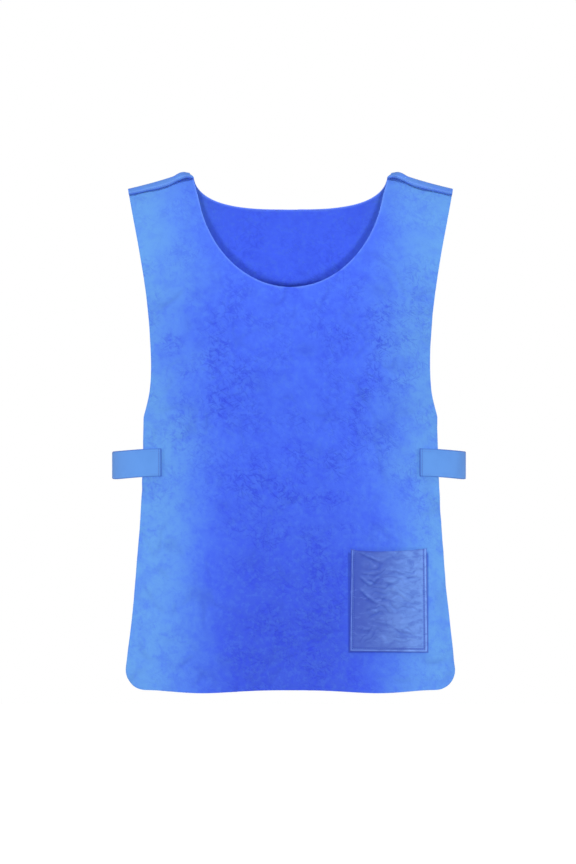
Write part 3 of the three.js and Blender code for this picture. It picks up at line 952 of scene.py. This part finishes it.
def pocket_ripples(across, run):
    """Fine V-shaped ripples across the pocket, as depths from 0 to 1, and its soft swells. The
    factors of places are waves for each metre of cloth."""
    ripple_pitch, ripple_width = 0.0105, 0.36
    ripple, swell = np.empty(across.size), np.empty(across.size)
    for i, (a, b) in enumerate(zip(across.ravel(), run.ravel())):
        place = Vector((a, b, 8.0))
        bent = noise.noise(place * 38) * 0.55 + noise.noise(place * 90) * 0.22
        phase = (b - 0.5 * math.hypot(a + 0.008, 0.01)) / ripple_pitch + bent * 2.6
        strength = max(0.0, min(1.0, noise.noise(Vector((a * 34, b * 50, 2.0))) * 2.2 + 0.45))
        ripple[i] = strength * peak(math.sin(math.pi * phase), ripple_width)
        swell[i] = noise.fractal(Vector((a * 30, b * 50, 5.0)), 1.0, 2.0, 3)
    return ripple.reshape(across.shape), swell.reshape(across.shape)


def pocket_surface(u, up):
    """Points, normals, painted shading and flat places of the pocket at shares across and up it."""
    form, pieces = settings()
    front, _ = faces()
    ridge_height, groove_depth = 0.0006, 0.00028
    seam = pieces.pocket_seam_inset
    half_width = pieces.pocket_width / 2 - pieces.pocket_flare * (up - 0.5)
    x = pieces.pocket_across + half_width * (2 * u - 1)
    sag = pieces.pocket_sag * np.clip(np.sin(math.pi * u**0.75), 0, 1) ** 0.7 * up**6
    lower = sag + pieces.pocket_slant * u * (1 - up)
    drop = form.vest_length - pieces.pocket_hem_gap - pieces.pocket_height * up + lower
    run = front.run_at(drop - front.dip(x, drop))

    to_side = pieces.pocket_width * np.minimum(u, 1 - u)
    to_seam = np.minimum(to_side, pieces.pocket_height * up)
    inside = smoothstep(to_seam - seam, 0.001, 0.012)
    groove = peak(to_seam - seam, 0.0011)
    ridge = peak(to_seam - seam * 0.55, 0.0009)
    # Painted shade along the open mouth's edge, darker at the end nearer the vest's middle.
    mouth = (1.2 - 0.7 * u) * peak(pieces.pocket_height * (1 - up), 0.0013)
    wrinkles = np.zeros(u.shape)
    for wrinkle in POCKET_WRINKLES:
        valley, rise = wrinkle_shape(u, 1 - up, wrinkle)
        wrinkles += valley - 0.6 * rise
    ripple, soft = pocket_ripples(x - pieces.pocket_across, run)
    relief = 0.5 * soft - 0.7 * ripple - wrinkles
    # Painted shade in the wrinkles and ripples, in the stitch groove and under the edges, with painted
    # highlights on the swells and the ridge.
    crease = (wrinkles + 0.5 * ripple - 0.3 * soft) * inside
    crease = crease + 2.0 * groove + 1.8 * peak(to_seam, 0.0012) - 1.3 * ridge + mouth

    puff = pieces.pocket_puff * np.sin(math.pi / 2 * up) * np.sin(math.pi * u)
    free = lerp(0.5, 1, smoothstep(puff, 0, 0.003))
    seat = (form.panel_thickness + pieces.pocket_thickness) / 2 + form.seam_gap
    height = seat + puff + relief * inside * pieces.wrinkle_depth * free
    height = height + ridge_height * ridge - groove_depth * groove
    normals = front.normals(x, run)
    points = front.points(x, run) + normals * height[..., None]
    return points, normals, np.clip(crease, -1.6, 2.0), np.stack([x, run], -1)


def build_pocket(name):
    """The patch pocket, sewn at its sides and foot and open at the top."""
    _, pieces = settings()
    columns = math.ceil(pieces.pocket_width / pieces.trim_step) + 1
    rows = math.ceil(pieces.pocket_height / pieces.trim_step) + 1
    grid = pocket_surface(*np.meshgrid(np.linspace(0, 1, columns), np.linspace(0, 1, rows)))
    return cloth_piece(name, [grid], pieces.pocket_thickness, wrinkled_lining)


def stitch_tree():
    """Geometry nodes that lay round-ended stitches end to end along a line."""
    name = "Stitches along a line"
    if name in bpy.data.node_groups:
        return bpy.data.node_groups[name]
    group = bpy.data.node_groups.new(name, "GeometryNodeTree")
    sockets = group.interface
    sockets.new_socket("Line", in_out="INPUT", socket_type="NodeSocketGeometry")
    for label in ("Pitch", "Stitch length", "Thread radius"):
        sockets.new_socket(label, in_out="INPUT", socket_type="NodeSocketFloat")
    sockets.new_socket("Thread", in_out="INPUT", socket_type="NodeSocketMaterial")
    sockets.new_socket("Stitches", in_out="OUTPUT", socket_type="NodeSocketGeometry")
    tree = Tree(group)
    given = tree.add("NodeGroupInput").outputs
    line = tree.add("GeometryNodeMeshToCurve", {"Mesh": given["Line"]}).outputs[0]
    spaced = {"Curve": line, "Length": given["Pitch"]}
    places = tree.add("GeometryNodeCurveToPoints", spaced, mode="LENGTH").outputs
    ball = tree.add("GeometryNodeMeshUVSphere", {"Segments": 6, "Rings": 6, "Radius": 1.0}).outputs[0]
    radius, half = given["Thread radius"], tree.times(given["Stitch length"], 0.5)
    size = tree.add("ShaderNodeCombineXYZ", {0: radius, 1: radius, 2: half}).outputs[0]
    stitch = tree.add("GeometryNodeTransform", {"Geometry": ball, "Scale": size}).outputs[0]
    turn = tree.add("FunctionNodeAlignRotationToVector", {"Vector": places["Tangent"]}, axis="Z").outputs[0]
    inputs = {"Points": places["Points"], "Instance": stitch, "Rotation": turn}
    laid = tree.add("GeometryNodeInstanceOnPoints", inputs).outputs[0]
    real = tree.add("GeometryNodeRealizeInstances", {"Geometry": laid}).outputs[0]
    dressed = tree.add("GeometryNodeSetMaterial", {"Geometry": real, "Material": given["Thread"]}).outputs[0]
    tree.add("NodeGroupOutput", {"Stitches": dressed})
    return group


def build_stitching(name, lines):
    """Stitches along every line in lines, each an array of points on the cloth, as one piece."""
    _, pieces = settings()
    mesh = bpy.data.meshes.new(name)
    verts, edges = [], []
    for line in lines:
        edges += [(len(verts) + i, len(verts) + i + 1) for i in range(len(line) - 1)]
        verts += [tuple(point) for point in line]
    mesh.from_pydata(verts, edges, [])
    thread = material(sewing_thread)
    piece = add_object(name, mesh, thread)
    stitches = piece.modifiers.new("Stitches", "NODES")
    stitches.node_group = stitch_tree()
    values = {
        "Pitch": pieces.stitch_pitch,
        "Stitch length": pieces.stitch_length,
        "Thread radius": pieces.thread_radius,
        "Thread": thread,
    }
    for item in stitches.node_group.interface.items_tree:
        if item.in_out == "INPUT" and item.name in values:
            stitches[item.identifier] = values[item.name]
    apply_modifiers(piece)
    piece.data.shade_smooth()
    return piece


def on_top(points, normals, thickness):
    """The line of a seam's thread, which is sunk a little into the cloth of this thickness."""
    _, pieces = settings()
    return points + normals * (thickness / 2 + pieces.thread_radius * 0.4)


def pocket_seam_lines():
    """The pocket's stitch line down one side, along the foot and up the other side."""
    _, pieces = settings()
    down_count, across_count = 120, 90
    side = pieces.pocket_seam_inset / pieces.pocket_width
    foot = pieces.pocket_seam_inset / pieces.pocket_height
    up = np.linspace(1.0, foot, down_count)
    across = np.linspace(side, 1 - side, across_count)
    u = np.concatenate([np.full(down_count, side), across, np.full(down_count, 1 - side)])
    v = np.concatenate([up, np.full(across_count, foot), up[::-1]])
    points, normals, _, _ = pocket_surface(u, v)
    return [on_top(points, normals, pieces.pocket_thickness)]


def strap_seam_lines(side):
    """Stitches round three sides of each of the strap's sewn ends."""
    _, pieces = settings()
    place, outward, height, even = strap_line(side)
    edge_inset, before_panel_edge = 0.0034, 0.01
    near, far = pieces.strap_seam_inset, pieces.strap_overlap - before_panel_edge
    half = pieces.strap_width / 2 - edge_inset
    corners = [(far, -half), (near, -half), (near, half), (far, half)]
    path = [np.linspace(start, end, 30, endpoint=False) for start, end in zip(corners, corners[1:])]
    run, rise = np.vstack([*path, corners[-1]]).T
    lines = []
    for at in (run, even[-1] - run):
        flat, out = (
            np.stack([np.interp(at, even, values[:, i]) for i in (0, 1)], -1) for values in (place, outward)
        )
        flat = on_top(flat, out, pieces.strap_thickness)
        lines.append(np.column_stack([flat, rise + np.interp(at, even, height)]))
    return lines


def band_seam_lines(side):
    """A row of stitches along the front edge and the back edge of a shoulder band."""
    _, pieces = settings()
    inset = 0.0025
    lines = []
    for signed in (inset - pieces.band_front_width, pieces.band_back_width - inset):
        points, normals, _ = band_surface(side, signed, np.linspace(0.02, 0.98, 80))
        lines.append(on_top(points, normals, pieces.band_thickness))
    return lines


class VEST_OT_panels(Operator):
    """Makes the front and back panels of crumpled cloth"""

    bl_idname = "vest.panels"
    bl_label = "Build Panels"

    def execute(self, context):
        front, back = faces()
        for name, face, seed in (("front_panel", front, 0.37), ("back_panel", back, 4.81)):
            piece = build_panel(name + "_cloth", face, seed)
            hand_over(piece, "vest_cloth", name)
            run = float(face.runs[-1])
            drops = face.drop_at(np.linspace(0, run, 400))
            area = float(2 * (face.outer_edge(drops) - face.inner_edge(drops)).mean() * run)
        return {"FINISHED"}


class VEST_OT_bands(Operator):
    """Makes the band over each shoulder, with its stitches"""

    bl_idname = "vest.bands"
    bl_label = "Build Shoulder Bands"

    def execute(self, context):
        for label, side in SIDES.items():
            node = "shoulder_band_" + label
            hand_over(build_band(node + "_tape", side), "shoulder_tape", node)
            hand_over(build_stitching(node + "_stitches", band_seam_lines(side)), "shoulder_tape")
        return {"FINISHED"}


class VEST_OT_straps(Operator):
    """Makes the elastic strap at each side, with its stitches"""

    bl_idname = "vest.straps"
    bl_label = "Build Side Straps"

    def execute(self, context):
        for label, side in SIDES.items():
            node = "side_strap_" + label
            hand_over(build_strap(node + "_elastic", side), "strap_elastic", node)
            hand_over(build_stitching(node + "_stitches", strap_seam_lines(side)), "strap_elastic")
        return {"FINISHED"}


class VEST_OT_pocket(Operator):
    """Makes the patch pocket, with its stitches"""

    bl_idname = "vest.pocket"
    bl_label = "Build Pocket"

    def execute(self, context):
        patch = build_pocket("pocket_patch")
        stitches = build_stitching("pocket_stitches", pocket_seam_lines())
        hand_over(patch, "pocket_cloth", "pocket")
        hand_over(stitches, "pocket_cloth")
        return {"FINISHED"}


def add_light(direction, size, power, stage):
    """A square light, unseen by the camera, that shines on the vest from this direction."""
    light = bpy.data.lights.new("soft_light", "AREA")
    light.size = size
    light.energy = power
    lamp = bpy.data.objects.new("soft_light", light)
    direction = Vector(direction)
    lamp.location = Vector((0, 0, stage.aim_height)) + direction.normalized() * stage.light_distance
    lamp.rotation_euler = direction.to_track_quat("Z", "Y").to_euler()
    lamp.visible_camera = False
    bpy.context.scene.collection.objects.link(lamp)


def add_lights(stage):
    """Soft lights: a close pair in front and behind, and a wide one at both sides and above."""
    beside = stage.pair_apart / stage.light_distance
    pair_rise, top_lean = -0.015, -0.25
    for across in (-beside, beside):
        for front in (-1, 1):
            add_light((across, front, pair_rise), stage.pair_size, stage.front_power, stage)
    for across in (-1, 1):
        add_light((across, 0, 0), stage.light_size, stage.side_power, stage)
    add_light((0, top_lean, 1), stage.light_size, stage.top_power, stage)


def stage_paint(name, shade, glow):
    values = {"Base Color": (shade, shade, shade, 1), "Roughness": 0.9, "Specular IOR Level": 0.0}
    values.update({"Emission Color": (1, 1, 1, 1), "Emission Strength": glow})
    paint, _ = new_material(name, values)
    return paint


def add_floor(height, stage):
    mesh = bpy.data.meshes.new("floor")
    reach = stage.backdrop_radius
    corners = ((-reach, -reach), (reach, -reach), (reach, reach), (-reach, reach))
    mesh.from_pydata([(x, y, height) for x, y in corners], [], [(0, 1, 2, 3)])
    floor = add_object("floor", mesh, stage_paint("studio_floor", 0.9, stage.floor_glow))
    floor.visible_diffuse = False


def add_backdrop(stage):
    """A white dome that only the camera sees, so the light doesn't depend on it."""
    mesh = bpy.data.meshes.new("backdrop")
    built = bmesh.new()
    bmesh.ops.create_uvsphere(built, u_segments=96, v_segments=48, radius=stage.backdrop_radius)
    bmesh.ops.reverse_faces(built, faces=built.faces)
    built.to_mesh(mesh)
    built.free()
    dome = add_object("backdrop", mesh, stage_paint("white_backdrop", 0.0, stage.backdrop_strength))
    for kind in ("diffuse", "glossy", "transmission", "shadow"):
        setattr(dome, "visible_" + kind, False)


def add_camera(stage):
    """A camera straight in front, whose picture is as high as the photo's at the vest's edges."""
    camera = bpy.data.cameras.new("camera")
    camera.sensor_width = 36.0
    camera.lens = camera.sensor_width * (stage.camera_distance + stage.frame_depth) / stage.frame_height
    camera.clip_end = 100.0
    body = bpy.data.objects.new("camera", camera)
    body.location = (stage.aim_across, -stage.camera_distance, stage.aim_height)
    body.rotation_euler = (math.radians(90), 0, 0)
    bpy.context.scene.collection.objects.link(body)
    bpy.context.scene.camera = body


class VEST_OT_stage(Operator):
    """Makes the floor, the soft studio light and the camera"""

    bl_idname = "vest.stage"
    bl_label = "Build Stage"

    def execute(self, context):
        scene, stage = context.scene, context.scene.vest_stage
        add_floor(-scene.vest_form.vest_length - stage.floor_gap, stage)
        world = bpy.data.worlds.new("Studio")
        world.use_nodes = True
        sky = world.node_tree.nodes["Background"]
        sky.inputs["Color"].default_value = (1, 1, 1, 1)
        sky.inputs["Strength"].default_value = stage.sky_strength
        scene.world = world
        add_backdrop(stage)
        add_lights(stage)
        add_camera(stage)
        scene.view_settings.view_transform = "Standard"
        return {"FINISHED"}


class VEST_PT_sidebar(Panel):
    """Lists the vest's operators and sizes"""

    bl_idname = "VEST_PT_sidebar"
    bl_label = "Cooling Vest"
    bl_space_type = "VIEW_3D"
    bl_region_type = "UI"
    bl_category = "Vest"

    def draw(self, context):
        for operator in OPERATORS:
            self.layout.operator(operator.bl_idname)
        for name, _ in GROUPS:
            group = getattr(context.scene, name)
            box = self.layout.box()
            for key in group.bl_rna.properties.keys():
                if key not in ("rna_type", "name"):
                    box.prop(group, key)


OPERATORS = (VEST_OT_panels, VEST_OT_bands, VEST_OT_straps, VEST_OT_pocket, VEST_OT_stage)
GROUPS = (
    ("vest_form", VestForm),
    ("vest_pieces", VestPieces),
    ("vest_colours", VestColours),
    ("vest_stage", VestStage),
)


def register():
    for name, group in GROUPS:
        bpy.utils.register_class(group)
        setattr(bpy.types.Scene, name, PointerProperty(type=group))
    for cls in (*OPERATORS, VEST_PT_sidebar):
        bpy.utils.register_class(cls)


def unregister():
    for cls in reversed((*OPERATORS, VEST_PT_sidebar)):
        bpy.utils.unregister_class(cls)
    for name, group in reversed(GROUPS):
        delattr(bpy.types.Scene, name)
        bpy.utils.unregister_class(group)


def main():
    register()
    bpy.ops.vest.panels()
    bpy.ops.vest.bands()
    bpy.ops.vest.straps()
    bpy.ops.vest.pocket()
    bpy.ops.vest.stage()


if __name__ == "__main__":
    main()
